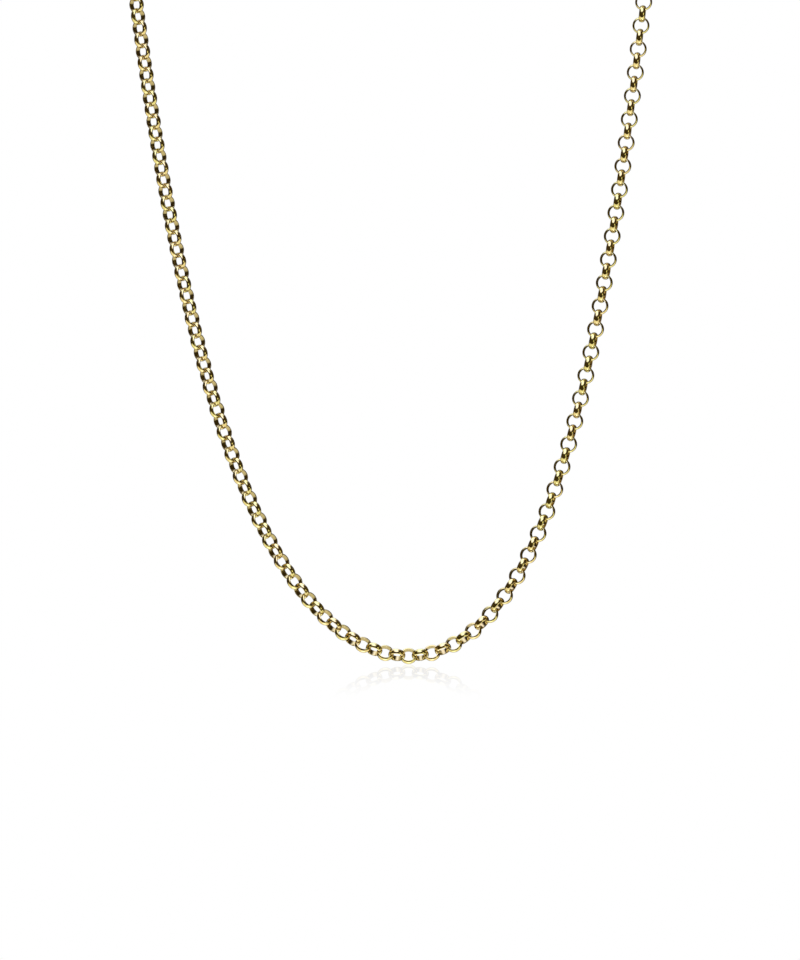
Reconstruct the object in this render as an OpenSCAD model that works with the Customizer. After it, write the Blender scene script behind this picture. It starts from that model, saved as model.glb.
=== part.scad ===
// Rolo neck chain: round half-round-wire links, each a quarter turn from the next,
// hanging as a planar drape in front and closed by a bolt ring at the nape.
// Millimetres, +Z up, the front of the drape faces -Y, and the origin is the point
// on the inner side of the clasp where the chain rests on the back of the neck.

/* [Links] */
// Outer diameter of a round link
link_od = 3.22; // [3.1:0.02:3.5]
// Radial thickness of the wire, from the inner flat to the top of its outer curve
wire_t = 0.36; // [0.3:0.01:0.38]
// Width of the wire along the link's axis
wire_w = 1.08; // [0.9:0.02:1.2]
// Radius that softens the two inner edges of the wire
wire_corner = 0.14; // [0.12:0.01:0.18]
// Width of the narrow worn band along the crest of the wire's outer curve
crest_w = 0.2; // [0.16:0.02:0.4]
// Least free space between two linked rings
link_gap = 0.11; // [0.11:0.01:0.16]

/* [Front drape] */
// Radius of the curve at the lowest link
drape_r = 17.08; // [14:0.02:22]
// Height from the lowest link to the top of the flat front drape
drape_h = 127; // [110:1:140]
// Sideways distance from the lowest link to the middle of the loop's top
lean = 4.1; // [0:0.1:5]
// Height over which the drape leans towards the lowest link
lean_h = 64; // [40:1:80]

/* [Round the neck] */
// Radius of the bend over each shoulder
shoulder_r = 12; // [9:0.5:16]
// Depth of the half oval round the back of the neck
back_depth = 71; // [55:0.5:80]
// Rise of the half oval towards the nape, in degrees
back_tilt = 10; // [0:1:20]

/* [Clasp] */
// Mean diameter of the bolt ring
ring_d = 4.9; // [4.6:0.1:6]
// Thickness of the bolt ring's tube
ring_wire = 1.1; // [0.9:0.05:1.2]
// Mean diameter of the eye that holds the last link
eye_d = 2.2; // [2.2:0.05:2.6]
// Thickness of the eye's wire
eye_wire = 0.56; // [0.5:0.02:0.6]
// Length of the thumb stub beyond the ring's tube
thumb_l = 0.7; // [0.4:0.1:1]
// Thickness of the thumb stub
thumb_d = 0.8; // [0.6:0.05:0.85]

/* [Hidden] */

gold = "#d9b95c";
$fn = 48;

link_ri = link_od/2 - wire_t;
flat_w = wire_w - 2*wire_corner;
crown_rise = wire_t - wire_corner;
crown_half = (wire_w - crest_w) / 2;
crown_r = (crown_half*crown_half + crown_rise*crown_rise) / (2*crown_rise);

// Half of the width over which the rounded inside of one link bears on the next: each
// inner edge falls away over this share of its radius
edge_share = 0.78;
bearing_half = wire_w/2 - edge_share*wire_corner;
// Greatest centre distance of two linked rings that still leaves the gap
link_reach = sqrt(link_ri*link_ri - bearing_half*bearing_half)
    + sqrt(pow(link_ri - link_gap, 2) - bearing_half*bearing_half);

// Centre distances from the bolt ring and from its eye to the links that they hold
ring_r = ring_d/2;
eye_r = eye_d/2;
ring_reach = link_ri - link_gap + sqrt(ring_r*ring_r - wire_w*wire_w/4) - ring_wire/2;
eye_reach = link_ri - link_gap + sqrt(eye_r*eye_r - wire_w*wire_w/4) - eye_wire/2;
clasp_span = ring_reach + ring_r + eye_r + eye_reach;

// Twist of the chain about its own line, by distance from the lowest link,
// which is negative on the left: [distance along the chain, roll in degrees]
roll_rows = [
    [-252, 0],
    [-150, 48],
    [-110, 47.5],
    [-80, 44],
    [-62, 40],
    [-26, 40],
    [-13, 38],
    [0, 31.5],
    [13, 25],
    [27, 19],
    [44, 13.5],
    [62, 11],
    [80, 13],
    [98, 12],
    [133, 6],
    [252, 0],
];

function cosh(u) = (exp(u) + exp(-u)) / 2;
function sinh(u) = (exp(u) - exp(-u)) / 2;
function unit(v) = v / norm(v);
function across(v, line) = v - (v*line)*line;

// Front drape: a catenary in the plane y = 0 that leans to one side.
// side is 1 on the right and -1 on the left, u runs from 0 at the lowest link.
drape_end = ln(1 + drape_h/drape_r + sqrt(pow(1 + drape_h/drape_r, 2) - 1));
function drape_z(u) = drape_r*(cosh(u) - 1);
function lean_at(u) = lean*exp(-drape_z(u)/lean_h);
function drape(side, u) = [side*drape_r*u + lean_at(u), 0, drape_z(u)];
function drape_dir(side, u) = unit([side - lean_at(u)*sinh(u)/lean_h, 0, sinh(u)]);

// Shoulder bend: an arc from the top of the drape to the line of the half oval
back_dir = [0, cos(back_tilt), sin(back_tilt)];
back_up = [0, -sin(back_tilt), cos(back_tilt)];
function rise_dir(side) = drape_dir(side, drape_end);
function bend_turn(side) = acos(rise_dir(side)*back_dir);
function bend_in(side) = unit(across(back_dir, rise_dir(side)));
function bend(side, turn) = drape(side, drape_end)
    + shoulder_r*(sin(turn)*rise_dir(side) + (1 - cos(turn))*bend_in(side));

// Half oval round the back, between the ends of the two shoulder bends
oval_right = bend(1, bend_turn(1));
oval_left = bend(-1, bend_turn(-1));
oval_mid = (oval_right + oval_left) / 2;
oval_half = (oval_right - oval_left) / 2;
function oval(turn) = oval_mid + cos(turn)*oval_half + sin(turn)*back_depth*back_dir;

// Either half of the loop, for t from 0 to 3: drape, shoulder bend, half of the oval
function half_at(side, t) =
    t < 1 ? drape(side, t*drape_end)
    : t < 2 ? bend(side, (t - 1)*bend_turn(side))
    : oval(90 - side*(3 - t)*90);

// Direction across the loop's line that faces the viewer in front and turns up on the
// way round to the nape
function bend_face(side, turn) = sin(turn)*rise_dir(side) - cos(turn)*bend_in(side);
function half_face(side, t) =
    t < 1 ? [0, -1, 0]
    : t < 2 ? bend_face(side, (t - 1)*bend_turn(side))
    : (3 - t)*bend_face(side, bend_turn(side)) + (t - 2)*back_up;

// Distance along each half against t, to place the links by their spacing
half_steps = 600;
function half_table(side) = [
    for (i = 0, s = 0; i <= half_steps;
         s = s + norm(half_at(side, 3*(i + 1)/half_steps) - half_at(side, 3*i/half_steps)),
         i = i + 1)
        [s, 3*i/half_steps]
];
right_table = half_table(1);
left_table = half_table(-1);
loop_length = right_table[half_steps][0] + left_table[half_steps][0];

// Whole number of link spacings that fills the loop beside the clasp. It is even,
// so that both end links stand across the clasp's ring.
spacings = 2*ceil((loop_length - clasp_span) / (2*link_reach));
pitch = (loop_length - clasp_span) / spacings;
// Last links on the right and on the left, counted from the lowest link
last_right = 2*round((right_table[half_steps][0] - clasp_span/2) / (2*pitch));
last_left = last_right - spacings;

// Point on the loop at a distance s from the lowest link; past the nape the line is
// followed on the other half
function over(s) = s > right_table[half_steps][0];
function under(s) = s < -left_table[half_steps][0];
function side_of(s) = over(s) || (s < 0 && !under(s)) ? -1 : 1;
function along(s) = over(s) || under(s) ? loop_length - abs(s) : abs(s);
function t_of(s) = lookup(along(s), side_of(s) > 0 ? right_table : left_table);
function point_at(s) = half_at(side_of(s), t_of(s));

// Axis of link k across a given line: the even links face the viewer, turned by the
// roll, and the odd ones stand a quarter turn from them
function roll_of(k) = lookup(k*pitch, roll_rows) + (k % 2 == 0 ? 0 : 90);
function axis_across(k, line) =
    let (face = unit(across(half_face(side_of(k*pitch), t_of(k*pitch)), line)))
    cos(roll_of(k))*face + sin(roll_of(k))*cross(face, line);

// Centre of link k: in each round it moves along its own axis until its two neighbours
// lie in its plane, as they do in a taut chain
settle_rounds = 2;
function centre_of(k, rounds = settle_rounds) =
    rounds == 0 ? point_at(k*pitch)
    : let (
        before = centre_of(k - 1, rounds - 1),
        here = centre_of(k, rounds - 1),
        after = centre_of(k + 1, rounds - 1),
        axis = axis_across(k, unit(after - before))
    )
    here + (axis*((before + after)/2 - here))*axis;
function line_of(k) = unit(centre_of(k + 1) - centre_of(k - 1));

// Clasp line: from the last right link to the last left link
clasp_line = unit(centre_of(last_left) - centre_of(last_right));
clasp_face = unit(across(back_up, clasp_line));
clasp_in = cross(clasp_face, clasp_line);
clasp_slack = (norm(centre_of(last_left) - centre_of(last_right)) - clasp_span) / 2;
eye_centre = centre_of(last_right) + (eye_reach + clasp_slack)*clasp_line;
ring_centre = eye_centre + (eye_r + ring_r)*clasp_line;
// The chain rests on the neck at the inner side of the bolt ring's tube
nape = ring_centre - ring_r*clasp_face + ring_wire/2*clasp_in;

// Puts children with their x, y and z axes along three directions at a place
module place(x_dir, y_dir, z_dir, at) {
    multmatrix([
        [x_dir[0], y_dir[0], z_dir[0], at[0]],
        [x_dir[1], y_dir[1], z_dir[1], at[1]],
        [x_dir[2], y_dir[2], z_dir[2], at[2]],
        [0, 0, 0, 1]
    ])
        children();
}

// Outer curve of the wire: an arc on each side of the narrow band at the crest
module crown() {
    translate([link_ri + wire_t - crown_r, 0]) {
        for (side = [-1, 1])
            translate([0, side*crest_w/2])
                circle(r = crown_r, $fn = 120);
        translate([0, -crest_w/2])
            square([crown_r, crest_w]);
    }
}

// Section of the wire, x outwards from the link's axis: flat inside with rounded
// edges, half-round outside
module wire_section() {
    intersection() {
        crown();
        union() {
            translate([link_ri, -flat_w/2])
                square([wire_t, flat_w]);
            translate([link_ri + wire_corner, -wire_w/2])
                square([crown_rise, wire_w]);
            for (side = [-1, 1])
                translate([link_ri + wire_corner, side*flat_w/2])
                    circle(r = wire_corner, $fn = 32);
        }
    }
}

module link() {
    rotate_extrude()
        wire_section();
}

// Links from number first to number last, each in its place on the loop
module links(first, last) {
    for (k = [first:last]) {
        line = line_of(k);
        axis = axis_across(k, line);
        place(line, cross(axis, line), axis, centre_of(k) - nape)
            link();
    }
}

module torus(mean_r, wire) {
    rotate_extrude()
        translate([mean_r, 0])
            circle(r = wire/2, $fn = 24);
}

module chain_left() {
    color(gold)
        links(last_left, -1);
}

module chain_right() {
    color(gold)
        links(0, last_right);
}

module clasp() {
    color(gold)
        place(clasp_line, clasp_face, -clasp_in, ring_centre - nape) {
            torus(ring_r, ring_wire);
            translate([-ring_r - eye_r, 0, 0])
                torus(eye_r, eye_wire);
            rotate([-90, 0, 0])
                translate([0, 0, ring_r])
                    cylinder(d = thumb_d, h = ring_wire/2 + thumb_l);
        }
}

chain_left();
chain_right();
clasp();
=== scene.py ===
# Rolo neck chain: polished half-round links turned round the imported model, the bolt ring
# at the nape, and a white studio with the camera at the photograph's viewing angle.
import math

import bmesh
import bpy
import numpy as np
from bpy.props import (
    EnumProperty,
    FloatProperty,
    FloatVectorProperty,
    IntProperty,
    PointerProperty,
)
from bpy.types import Operator, Panel, PropertyGroup
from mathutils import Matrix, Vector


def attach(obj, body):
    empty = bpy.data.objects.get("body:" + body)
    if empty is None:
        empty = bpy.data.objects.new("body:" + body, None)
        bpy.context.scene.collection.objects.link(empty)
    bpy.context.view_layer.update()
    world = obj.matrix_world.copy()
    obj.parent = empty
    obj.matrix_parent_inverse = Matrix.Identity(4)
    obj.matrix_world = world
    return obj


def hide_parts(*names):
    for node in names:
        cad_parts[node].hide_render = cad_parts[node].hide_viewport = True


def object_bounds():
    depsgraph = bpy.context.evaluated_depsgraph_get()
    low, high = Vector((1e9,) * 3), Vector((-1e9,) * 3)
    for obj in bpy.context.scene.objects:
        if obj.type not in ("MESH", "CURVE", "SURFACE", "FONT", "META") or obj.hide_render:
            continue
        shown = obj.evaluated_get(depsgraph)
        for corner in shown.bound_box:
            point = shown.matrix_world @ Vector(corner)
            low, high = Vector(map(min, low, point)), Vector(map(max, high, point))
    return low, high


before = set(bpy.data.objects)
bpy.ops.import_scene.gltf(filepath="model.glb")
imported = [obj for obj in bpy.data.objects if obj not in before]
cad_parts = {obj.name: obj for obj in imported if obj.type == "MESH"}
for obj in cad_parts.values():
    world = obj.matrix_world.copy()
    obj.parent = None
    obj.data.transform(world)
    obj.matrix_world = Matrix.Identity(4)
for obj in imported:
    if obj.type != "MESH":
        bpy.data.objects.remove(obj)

bl_info = {
    "name": "Rolo Neck Chain",
    "version": (1, 0, 0),
    "blender": (4, 5, 0),
    "location": "View3D > Sidebar > Neck Chain",
    "description": "Dresses a packed rolo neck chain in polished gold links",
    "category": "Object",
}

MM = 0.001
CAD_BOX = [list(corner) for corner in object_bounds()]

# Round lights, by the name of their brightness: azimuth and elevation, outer and inner
# angle in degrees, and tint
ROUND_LIGHTS = {
    "softbox": (210, 72.5, 46, 7, (0.91, 1.0, 1.3)),
    "lamp": (-10, 48.5, 36, 5, (0.93, 1.0, 1.4)),
    "card": (42, -7, 15, 6, (0.97, 1.0, 0.6)),
    "table_middle": (0, -90, 26, 8, (0.85, 1.0, 1.6)),
}
# The table as seen from the chain, for each unit of height above it: the middle, the
# half width that is fully lit and the width of its soft edge
TABLE_SIDEWAYS = (0.43, 1.13, 4.96)
TABLE_AHEAD = (0.25, 1.02, 0.11)
TABLE_TINT = (0.98, 1.0, 0.9)
# Downward parts of a direction between which the table starts below the horizon
HORIZON = (0.02, 0.04)
ROOM_TINT = (1.0, 0.72, 0.25)

# Pattern of the gold on a link, in millimetres from the link's own centre: radii between
# which the inside gives way to the outer curve, and shares of the radius, along the
# chain, between which the inside bears on the next link
INSIDE_EDGE = (1.25, 1.32)
BEARING_EDGE = (0.75, 0.95)
# Repeats per millimetre of the drawn lines, across and along the wire, of the smudges and
# of the soft unevenness
LINES_ACROSS = 30
LINES_ALONG = 0.6
SMUDGE_SCALE = 1.4
UNEVEN_SCALE = 0.9
# Distances between the links in the noise of the lines and in that of the smudges
LINES_STEP = 50
SMUDGE_STEP = 90
# Share of a link's own tone in the mix with its smudges, and values of the mix between
# which the gold turns from yellow to greenish
TONE_SHARE = 0.6
GREEN_EDGE = (0.35, 0.65)
# Share of the painted shade inside the links that follows the smudges
SMUDGED_SHADE = 0.3
# How much the inside, the bearing places and the smudges are rubbed, and values of the
# smudges between which they are
RUB_INSIDE = 0.5
RUB_BEARING = 0.4
RUB_SMUDGE = 0.3
SMUDGE_EDGE = (0.45, 0.75)
# Strength of the drawn lines in relief and in roughness
LINES_RELIEF = 0.35
LINES_ROUGHNESS = 0.03

# Pattern of the gold on the clasp: repeats per metre of its smudges and handling marks,
# values of the smudges between which it is greenish and rubbed, and the marks' strength
CLASP_SMUDGES = 900.0
CLASP_MARKS = 9000.0
CLASP_GREEN_EDGE = (0.35, 0.7)
CLASP_RUB_EDGE = (0.4, 0.8)
CLASP_RELIEF = 0.3

FLOOR_SIDES = 96
LINK_GOLD = "polished_gold_links"

# Each half of the chain: its node, its piece and the seed of its random draws
HALVES = {
    "left": ("chain_left", "left_links", 11),
    "right": ("chain_right", "right_links", 23),
}


class LinkSettings(PropertyGroup):
    """Shape of the half-oval wire that each link is bent from"""

    inner_bow: FloatProperty(
        name="Inner Bow",
        description="How far the inside of the wire bows out between its two edges",
        default=0.02 * MM,
        unit="LENGTH",
    )
    turns: IntProperty(
        name="Turns",
        description="Facets round a link",
        default=48,
    )
    outer_steps: IntProperty(
        name="Outer Steps",
        description="Facets across the outer curve of the wire",
        default=12,
    )
    inner_steps: IntProperty(
        name="Inner Steps",
        description="Facets across the inside of the wire",
        default=6,
    )


class GoldSettings(PropertyGroup):
    """Colours and polish of the gold"""

    yellow: FloatVectorProperty(
        name="Yellow",
        description="Main colour of the polished gold",
        subtype="COLOR",
        size=4,
        default=(0.95, 0.745, 0.33, 1.0),
    )
    green: FloatVectorProperty(
        name="Greenish",
        description="Cooler tone of some of the links",
        subtype="COLOR",
        size=4,
        default=(0.90, 0.76, 0.29, 1.0),
    )
    # Painted shade: the darker, browner colour given to the inside of the links
    inside_shade: FloatVectorProperty(
        name="Inside Shade",
        description="Duller, browner tone of the inside of the links",
        subtype="COLOR",
        size=4,
        default=(0.54, 0.42, 0.20, 1.0),
    )
    polish: FloatProperty(
        name="Polish",
        description="Roughness of the bright outer curve",
        default=0.06,
    )
    rubbed: FloatProperty(
        name="Rubbed",
        description="Roughness of the inner faces and of the worn places",
        default=0.16,
    )
    wobble: FloatProperty(
        name="Wobble",
        description="Depth of the soft unevenness left by bending and wear",
        default=0.07 * MM,
        unit="LENGTH",
    )
    scratch: FloatProperty(
        name="Scratch Depth",
        description="Depth of the fine drawn lines along the wire",
        default=0.002 * MM,
        unit="LENGTH",
    )


class StudioSettings(PropertyGroup):
    """Camera, floor and light"""

    distance: FloatProperty(
        name="Camera Distance",
        description="From the camera to the plane of the front drape",
        default=1.2,
        unit="LENGTH",
    )
    frame_height: FloatProperty(
        name="Frame Height",
        description="Height of the picture at the plane of the front drape",
        default=180.53 * MM,
        unit="LENGTH",
    )
    aim_left: FloatProperty(
        name="Aim Left",
        description="From the lowest link to the middle of the picture, leftwards",
        default=1.61 * MM,
        unit="LENGTH",
    )
    aim_up: FloatProperty(
        name="Aim Up",
        description="From the lowest link to the middle of the picture, upwards",
        default=33.1 * MM,
        unit="LENGTH",
    )
    floor_gap: FloatProperty(
        name="Floor Gap",
        description="Free height between the lowest link and the floor",
        default=0.02 * MM,
        unit="LENGTH",
    )
    floor_radius: FloatProperty(
        name="Floor Radius",
        description="Radius of the floor",
        default=6.0,
        unit="LENGTH",
    )
    mirror: FloatProperty(
        name="Mirror",
        description="Strength of the mirror image right under the chain",
        default=0.2,
    )
    mirror_reach: FloatProperty(
        name="Mirror Reach",
        description="Distance from the lowest link at which the mirror image has faded",
        default=200 * MM,
        unit="LENGTH",
    )
    softbox: FloatProperty(
        name="Softbox",
        description="Brightness of the softbox overhead",
        default=1.75,
    )
    lamp: FloatProperty(
        name="Lamp",
        description="Brightness of the lamp above the camera",
        default=1.75,
    )
    card: FloatProperty(
        name="Card",
        description="Brightness of the small card in front on the right",
        default=1.3,
    )
    table: FloatProperty(
        name="Table",
        description="Brightness of the white table below",
        default=0.9,
    )
    table_middle: FloatProperty(
        name="Table Middle",
        description="Extra brightness of the table right below",
        default=0.9,
    )
    room: FloatProperty(
        name="Room",
        description="Brightness of the dark room",
        default=0.045,
    )


class Term:
    """A shader socket in an expression, which adds a Math node for each operation"""

    def __init__(self, nodes, socket):
        self.nodes = nodes
        self.socket = socket

    def __add__(self, other):
        return self.nodes.maths("ADD", self, other)

    __radd__ = __add__

    def __sub__(self, other):
        return self.nodes.maths("SUBTRACT", self, other)

    def __rsub__(self, other):
        return self.nodes.maths("SUBTRACT", other, self)

    def __mul__(self, other):
        return self.nodes.maths("MULTIPLY", self, other)

    __rmul__ = __mul__

    def __truediv__(self, other):
        return self.nodes.maths("DIVIDE", self, other)

    def __pow__(self, other):
        return self.nodes.maths("POWER", self, other)

    def __abs__(self):
        return self.nodes.maths("ABSOLUTE", self)

    def ramp(self, low, high):
        """Smooth rise from 0 at low to 1 at high"""
        return self.nodes.add(
            "ShaderNodeMapRange",
            {"interpolation_type": "SMOOTHSTEP"},
            {"Value": self, "From Min": low, "From Max": high},
        )


class Nodes:
    """Node tree of a material or of the world"""

    def __init__(self, tree):
        self.tree = tree
        tree.nodes.clear()

    def add(self, kind, settings=None, values=None, output=0):
        """Adds a node, gives it its settings and then its sockets, and returns an output"""
        node = self.tree.nodes.new(kind)
        for name, value in (settings or {}).items():
            setattr(node, name, value)
        for name, value in (values or {}).items():
            if isinstance(value, Term):
                self.tree.links.new(value.socket, node.inputs[name])
            else:
                node.inputs[name].default_value = value
        return Term(self, node.outputs[output]) if node.outputs else None

    def split(self, vector):
        """The three numbers of a vector"""
        parts = self.tree.nodes.new("ShaderNodeSeparateXYZ")
        self.tree.links.new(vector.socket, parts.inputs[0])
        return [Term(self, socket) for socket in parts.outputs]

    def maths(self, operation, *terms):
        """Result of a Math node on the terms"""
        return self.add("ShaderNodeMath", {"operation": operation}, dict(enumerate(terms)))

    def vector(self, operation, *terms, output="Vector"):
        """Result of a Vector Math node on the terms"""
        return self.add(
            "ShaderNodeVectorMath",
            {"operation": operation},
            dict(enumerate(terms)),
            output,
        )

    def tinted(self, tint, strength):
        """A tint at a strength"""
        return self.add(
            "ShaderNodeVectorMath",
            {"operation": "SCALE"},
            {0: tint, "Scale": strength},
        )

    def blend(self, factor, first, second):
        """Mix of two colours"""
        return self.add(
            "ShaderNodeMix",
            {"data_type": "RGBA"},
            {0: factor, 6: first, 7: second},
            output=2,
        )

    def noise(self, place, scale, detail):
        """Noise from 0 to 1 at a place"""
        return self.add(
            "ShaderNodeTexNoise",
            {"noise_dimensions": "3D"},
            {"Vector": place, "Scale": scale, "Detail": detail},
        )


def unit(vector):
    """Vector of length 1"""
    return vector / np.linalg.norm(vector)


def across(vector, line):
    """Part of a vector that is square to a line"""
    return vector - np.dot(vector, line) * line


class LinkPlace:
    """Place and size of one link, measured from its solid"""

    def __init__(self, corners, facets):
        triangles = corners[facets]
        middles = triangles.mean(axis=1)
        sides = triangles[:, 1:] - triangles[:, :1]
        areas = np.linalg.norm(np.cross(sides[:, 0], sides[:, 1]), axis=1)
        self.centre = np.average(middles, axis=0, weights=areas)
        spread = np.cov((middles - self.centre).T, aweights=areas)
        self.axis = np.linalg.eigh(spread)[1][:, 0]
        self.axis *= math.copysign(1, self.axis[np.abs(self.axis).argmax()])
        offsets = corners - self.centre
        heights = offsets @ self.axis
        radii = np.linalg.norm(offsets - np.outer(heights, self.axis), axis=1)
        self.outer = radii.max()
        self.inner = radii.min()
        self.half_width = np.abs(heights).max()


def loose_solids(node, weld=1e-7):
    """Corners and facets of each loose solid of a node"""
    shape = bmesh.new()
    shape.from_mesh(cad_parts[node].data)
    bmesh.ops.remove_doubles(shape, verts=shape.verts, dist=weld)
    bmesh.ops.triangulate(shape, faces=shape.faces)
    shape.verts.index_update()
    solid_of = {}
    for start in shape.verts:
        found = [] if start in solid_of else [start]
        for corner in found:
            solid_of.setdefault(corner, start.index)
            for edge in corner.link_edges:
                other = edge.other_vert(corner)
                if other not in solid_of:
                    solid_of[other] = start.index
                    found.append(other)
    corners = np.array([corner.co[:] for corner in shape.verts])
    facets = np.array([[corner.index for corner in face.verts] for face in shape.faces])
    solid = np.array([solid_of[corner] for corner in shape.verts])
    shape.free()
    for number in np.unique(solid):
        mine = solid == number
        order = np.cumsum(mine) - 1
        yield corners[mine], order[facets[mine[facets[:, 0]]]]


def links_in_order(node, start):
    """Links of a node, each the nearest to the one before, from the one nearest to start"""
    waiting = [LinkPlace(*solid) for solid in loose_solids(node)]
    row = []
    while waiting:
        nearest = min(waiting, key=lambda link: np.linalg.norm(link.centre - start))
        waiting.remove(nearest)
        row.append(nearest)
        start = nearest.centre
    return row


def lowest_link():
    """The link at the foot of the drape"""
    links = [LinkPlace(*solid) for solid in loose_solids("chain_right")]
    return min(links, key=lambda link: link.centre[2])


def half_oval(thickness, half_width, settings):
    """Outline of the wire, as places and outward directions, each (outwards from the
    link's hole, along the link's axis)"""
    bow = settings.inner_bow
    places, facing = [], []
    for rise, steps, start in (
        (thickness - bow, settings.outer_steps, -math.pi / 2),
        (bow, settings.inner_steps, math.pi / 2),
    ):
        for i in range(steps):
            angle = start + math.pi * i / steps
            out, up = math.cos(angle), math.sin(angle)
            places.append((bow + rise * out, half_width * up))
            facing.append(unit(np.array([half_width * out, rise * up])))
    return np.array(places), np.array(facing)


def turned_links(name, row, seed, settings):
    """Mesh of a row of links, each turned round its own axis from the half-round wire"""
    draws = np.random.default_rng(seed)
    turns = settings.turns
    angles = np.arange(turns) * 2 * math.pi / turns
    points, normals, places, tones, quads = [], [], [], [], []
    for link, neighbour in zip(row, row[1:] + row[-2:-1]):
        outline, facing = half_oval(link.outer - link.inner, link.half_width, settings)
        count = len(outline)
        along = unit(across(neighbour.centre - link.centre, link.axis))
        beside = np.cross(link.axis, along)
        spokes = np.outer(np.cos(angles), along) + np.outer(np.sin(angles), beside)
        radii = link.inner + outline[:, 0]
        local = np.stack([
            np.outer(np.cos(angles), radii),
            np.outer(np.sin(angles), radii),
            np.outer(np.ones(turns), outline[:, 1]),
        ], axis=2)
        first = sum(len(p) for p in points)
        points.append((
            link.centre
            + spokes[:, None, :] * radii[None, :, None]
            + link.axis * outline[None, :, 1, None]
        ).reshape(-1, 3))
        normals.append((
            spokes[:, None, :] * facing[None, :, 0, None]
            + link.axis * facing[None, :, 1, None]
        ).reshape(-1, 3))
        places.append(local.reshape(-1, 3) / MM)
        tones.append(np.full(turns * count, draws.random()))
        here = first + np.arange(turns * count).reshape(turns, count)
        after = np.roll(here, -1, axis=0)
        quads.append(np.stack([
            here,
            after,
            np.roll(after, -1, axis=1),
            np.roll(here, -1, axis=1),
        ], axis=2).reshape(-1, 4))
    mesh = bpy.data.meshes.new(name)
    mesh.from_pydata(np.concatenate(points).tolist(), [], np.concatenate(quads).tolist())
    mesh.shade_smooth()
    mesh.normals_split_custom_set_from_vertices(np.concatenate(normals).tolist())
    place = mesh.attributes.new("in_link", "FLOAT_VECTOR", "POINT")
    place.data.foreach_set("vector", np.concatenate(places).ravel())
    tone = mesh.attributes.new("link_tone", "FLOAT", "POINT")
    tone.data.foreach_set("value", np.concatenate(tones))
    return mesh


def add_object(name, mesh, material):
    """Puts a mesh into the scene with its material"""
    made = bpy.data.objects.new(name, mesh)
    bpy.context.scene.collection.objects.link(made)
    mesh.materials.append(material)
    return made


def gold_for_links(gold):
    """Polished yellow gold with painted shade and more roughness inside the links, rubbed where
    they bear on each other
    """
    material = bpy.data.materials.new(LINK_GOLD)
    material.use_nodes = True
    nodes = Nodes(material.node_tree)
    place = nodes.add("ShaderNodeAttribute", {"attribute_name": "in_link"}, output="Vector")
    tone = nodes.add("ShaderNodeAttribute", {"attribute_name": "link_tone"}, output="Fac")
    along, beside, height = nodes.split(place)
    radius = (along * along + beside * beside) ** 0.5

    inside = 1 - radius.ramp(*INSIDE_EDGE)
    bearing = inside * (abs(along) / radius).ramp(*BEARING_EDGE)
    lines_at = nodes.add(
        "ShaderNodeCombineXYZ",
        values={
            "X": radius * LINES_ACROSS,
            "Y": height * LINES_ACROSS,
            "Z": along * LINES_ALONG + tone * LINES_STEP,
        },
    )
    lines = nodes.noise(lines_at, 1.0, detail=3.0)
    smudge_at = nodes.add(
        "ShaderNodeCombineXYZ",
        values={"X": along + tone * SMUDGE_STEP, "Y": beside, "Z": height},
    )
    smudge = nodes.noise(smudge_at, SMUDGE_SCALE, detail=3.0)

    mixed = tone * TONE_SHARE + smudge * (1 - TONE_SHARE)
    yellow = nodes.blend(mixed.ramp(*GREEN_EDGE), gold.yellow, gold.green)
    # Painted shade: the inside of each link is darkened towards a browner colour, patchy with
    # the smudges
    shaded_inside = inside * (1 - SMUDGED_SHADE + smudge * SMUDGED_SHADE)
    colour = nodes.blend(shaded_inside, yellow, gold.inside_shade)
    rubbed = (
        inside * RUB_INSIDE
        + bearing * RUB_BEARING
        + smudge.ramp(*SMUDGE_EDGE) * RUB_SMUDGE
    )
    rough = gold.polish + (gold.rubbed - gold.polish) * rubbed
    uneven = nodes.add(
        "ShaderNodeBump",
        values={
            "Strength": 1.0,
            "Distance": gold.wobble,
            "Height": nodes.noise(smudge_at, UNEVEN_SCALE, detail=1.0),
        },
    )
    grain = nodes.add(
        "ShaderNodeBump",
        values={
            "Strength": LINES_RELIEF,
            "Distance": gold.scratch,
            "Height": lines,
            "Normal": uneven,
        },
    )
    surface = nodes.add(
        "ShaderNodeBsdfPrincipled",
        values={
            "Base Color": colour,
            "Metallic": 1.0,
            "Roughness": rough + lines * LINES_ROUGHNESS,
            "Normal": grain,
        },
    )
    nodes.add("ShaderNodeOutputMaterial", values={"Surface": surface})
    return material


def gold_for_clasp(gold):
    """The same gold on the plain bolt ring, with finer handling marks"""
    material = bpy.data.materials.new("polished_gold_clasp")
    material.use_nodes = True
    nodes = Nodes(material.node_tree)
    place = nodes.add("ShaderNodeTexCoord", output="Object")
    smudge = nodes.noise(place, CLASP_SMUDGES, detail=3.0)
    marks = nodes.noise(place, CLASP_MARKS, detail=2.0)
    colour = nodes.blend(smudge.ramp(*CLASP_GREEN_EDGE), gold.yellow, gold.green)
    rough = gold.polish + (gold.rubbed - gold.polish) * smudge.ramp(*CLASP_RUB_EDGE)
    grain = nodes.add(
        "ShaderNodeBump",
        values={"Strength": CLASP_RELIEF, "Distance": gold.scratch, "Height": marks},
    )
    surface = nodes.add(
        "ShaderNodeBsdfPrincipled",
        values={"Base Color": colour, "Metallic": 1.0, "Roughness": rough, "Normal": grain},
    )
    nodes.add("ShaderNodeOutputMaterial", values={"Surface": surface})
    return material


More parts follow.
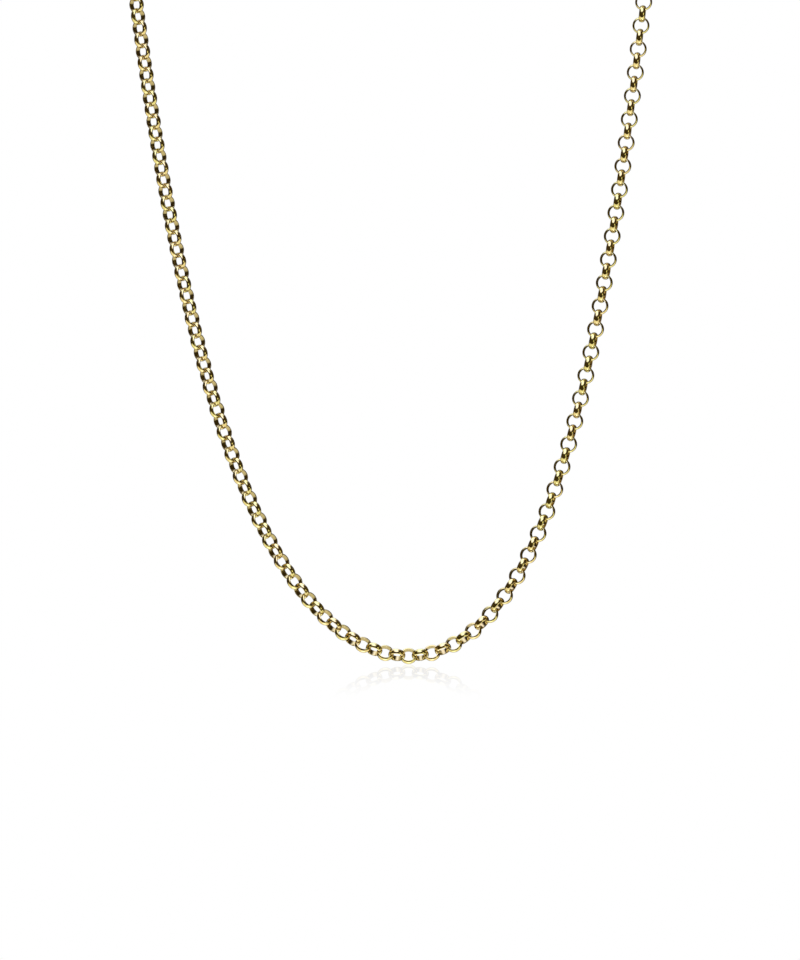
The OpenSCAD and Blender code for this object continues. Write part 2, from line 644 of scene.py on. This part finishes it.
def white_floor(studio, foot):
    """White floor with a weak mirror image that fades away from the chain's foot"""
    material = bpy.data.materials.new("white_floor")
    material.use_nodes = True
    nodes = Nodes(material.node_tree)
    place = nodes.add("ShaderNodeNewGeometry", output="Position")
    reach = nodes.vector("DISTANCE", place, foot, output="Value")
    white = nodes.add("ShaderNodeEmission", values={"Color": (1, 1, 1, 1), "Strength": 1.0})
    mirror = nodes.add("ShaderNodeBsdfGlossy", values={"Color": (1, 1, 1, 1), "Roughness": 0.0})
    share = (1 - reach.ramp(0.0, studio.mirror_reach)) * studio.mirror
    surface = nodes.add("ShaderNodeMixShader", values={0: share, 1: white, 2: mirror})
    nodes.add("ShaderNodeOutputMaterial", values={"Surface": surface})
    return material


def heading(azimuth, elevation):
    """Direction at an azimuth from the camera's side, rightwards, and an elevation"""
    turn = math.radians(azimuth)
    rise = math.radians(elevation)
    return (
        math.sin(turn) * math.cos(rise),
        -math.cos(turn) * math.cos(rise),
        math.sin(rise),
    )


def studio_light(world, studio):
    """White backdrop for the camera and the floor's mirror image; the gold sees a dark
    room with a softbox overhead, a lamp, a card and a white table"""
    world.use_nodes = True
    nodes = Nodes(world.node_tree)
    ray = nodes.add("ShaderNodeTexCoord", output="Generated")
    right, back, up = nodes.split(ray)
    down = 0 - up
    depth = nodes.maths("MAXIMUM", down, HORIZON[0])

    def patch(azimuth, elevation, outer, inner):
        """Soft round patch of light, from its outer to its inner angle"""
        facing = nodes.vector("DOT_PRODUCT", ray, heading(azimuth, elevation), output="Value")
        return facing.ramp(math.cos(math.radians(outer)), math.cos(math.radians(inner)))

    def strip(part, middle, width, edge):
        """Lit strip of the table along one of its directions"""
        return 1 - abs(part / depth - middle).ramp(width, width + edge)

    table = strip(right, *TABLE_SIDEWAYS) * strip(back, *TABLE_AHEAD) * down.ramp(*HORIZON)
    light = nodes.vector(
        "ADD",
        nodes.tinted(TABLE_TINT, table * studio.table),
        tuple(part * studio.room for part in ROOM_TINT),
    )
    for name, (azimuth, elevation, outer, inner, tint) in ROUND_LIGHTS.items():
        glow = patch(azimuth, elevation, outer, inner) * getattr(studio, name)
        light = nodes.vector("ADD", light, nodes.tinted(tint, glow))
    camera_ray = nodes.add("ShaderNodeLightPath", output="Is Camera Ray")
    mirror_ray = nodes.add("ShaderNodeLightPath", output="Is Singular Ray")
    white = nodes.maths("MAXIMUM", camera_ray, mirror_ray)
    background = nodes.add(
        "ShaderNodeBackground",
        values={"Color": nodes.blend(white, light, (1, 1, 1, 1)), "Strength": 1.0},
    )
    nodes.add("ShaderNodeOutputWorld", values={"Surface": background})


class NECKCHAIN_OT_links(Operator):
    """Turns one half of the chain's links in polished gold"""

    bl_idname = "neckchain.links"
    bl_label = "Links"

    half: EnumProperty(
        name="Half",
        description="Half of the chain",
        items=[("left", "Left", "Left half"), ("right", "Right", "Right half")],
    )

    def execute(self, context):
        node, piece, seed = HALVES[self.half]
        foot = lowest_link().centre
        row = links_in_order(node, foot)
        mesh = turned_links(piece, row, seed, context.scene.neckchain_link)
        gold = bpy.data.materials.get(LINK_GOLD) or gold_for_links(context.scene.neckchain_gold)
        made = add_object(piece, mesh, gold)
        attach(made, "root")
        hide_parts(node)
        return {"FINISHED"}


class NECKCHAIN_OT_clasp(Operator):
    """Polishes the bolt ring at the nape"""

    bl_idname = "neckchain.clasp"
    bl_label = "Clasp"

    def execute(self, context):
        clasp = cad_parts["clasp"]
        clasp.data.materials.clear()
        clasp.data.materials.append(gold_for_clasp(context.scene.neckchain_gold))
        return {"FINISHED"}


class NECKCHAIN_OT_studio(Operator):
    """Adds the white floor, the light and the camera"""

    bl_idname = "neckchain.studio"
    bl_label = "Studio"

    def execute(self, context):
        scene = context.scene
        studio = scene.neckchain_studio
        low = lowest_link()
        foot = np.array([*low.centre[:2], CAD_BOX[0][2] - studio.floor_gap])

        bpy.ops.mesh.primitive_circle_add(
            vertices=FLOOR_SIDES,
            radius=studio.floor_radius,
            fill_type="NGON",
            location=foot,
        )
        floor = context.object
        floor.name = "floor"
        floor.data.materials.append(white_floor(studio, foot.tolist()))
        floor.visible_glossy = False

        scene.world = bpy.data.worlds.new("white_studio")
        studio_light(scene.world, studio)
        scene.view_settings.view_transform = "Standard"

        camera = bpy.data.cameras.new("camera")
        camera.lens = camera.sensor_width * studio.distance / studio.frame_height
        camera.clip_start = 0.01
        camera.clip_end = 20
        holder = bpy.data.objects.new("camera", camera)
        aim = low.centre + np.array([-studio.aim_left, 0, studio.aim_up])
        holder.location = aim - np.array([0, studio.distance, 0])
        holder.rotation_euler = (math.pi / 2, 0, 0)
        scene.collection.objects.link(holder)
        scene.camera = holder
        return {"FINISHED"}


class NECKCHAIN_PT_sidebar(Panel):
    """Lists the steps that dress the chain"""

    bl_idname = "NECKCHAIN_PT_sidebar"
    bl_label = "Rolo Neck Chain"
    bl_space_type = "VIEW_3D"
    bl_region_type = "UI"
    bl_category = "Neck Chain"

    def draw(self, context):
        layout = self.layout
        for name in ("neckchain_link", "neckchain_gold", "neckchain_studio"):
            settings = getattr(context.scene, name)
            box = layout.box()
            for key in settings.__annotations__:
                box.prop(settings, key)
        for half in HALVES:
            layout.operator("neckchain.links", text=f"{half.title()} Links").half = half
        layout.operator("neckchain.clasp")
        layout.operator("neckchain.studio")


SETTINGS = {
    "neckchain_link": LinkSettings,
    "neckchain_gold": GoldSettings,
    "neckchain_studio": StudioSettings,
}
CLASSES = (
    *SETTINGS.values(),
    NECKCHAIN_OT_links,
    NECKCHAIN_OT_clasp,
    NECKCHAIN_OT_studio,
    NECKCHAIN_PT_sidebar,
)


def register():
    for kind in CLASSES:
        bpy.utils.register_class(kind)
    for name, kind in SETTINGS.items():
        setattr(bpy.types.Scene, name, PointerProperty(type=kind))


def unregister():
    for name in SETTINGS:
        delattr(bpy.types.Scene, name)
    for kind in reversed(CLASSES):
        bpy.utils.unregister_class(kind)


def main():
    """Dresses the chain"""
    register()
    for half in HALVES:
        bpy.ops.neckchain.links(half=half)
    bpy.ops.neckchain.clasp()
    bpy.ops.neckchain.studio()


if __name__ == "__main__":
    main()
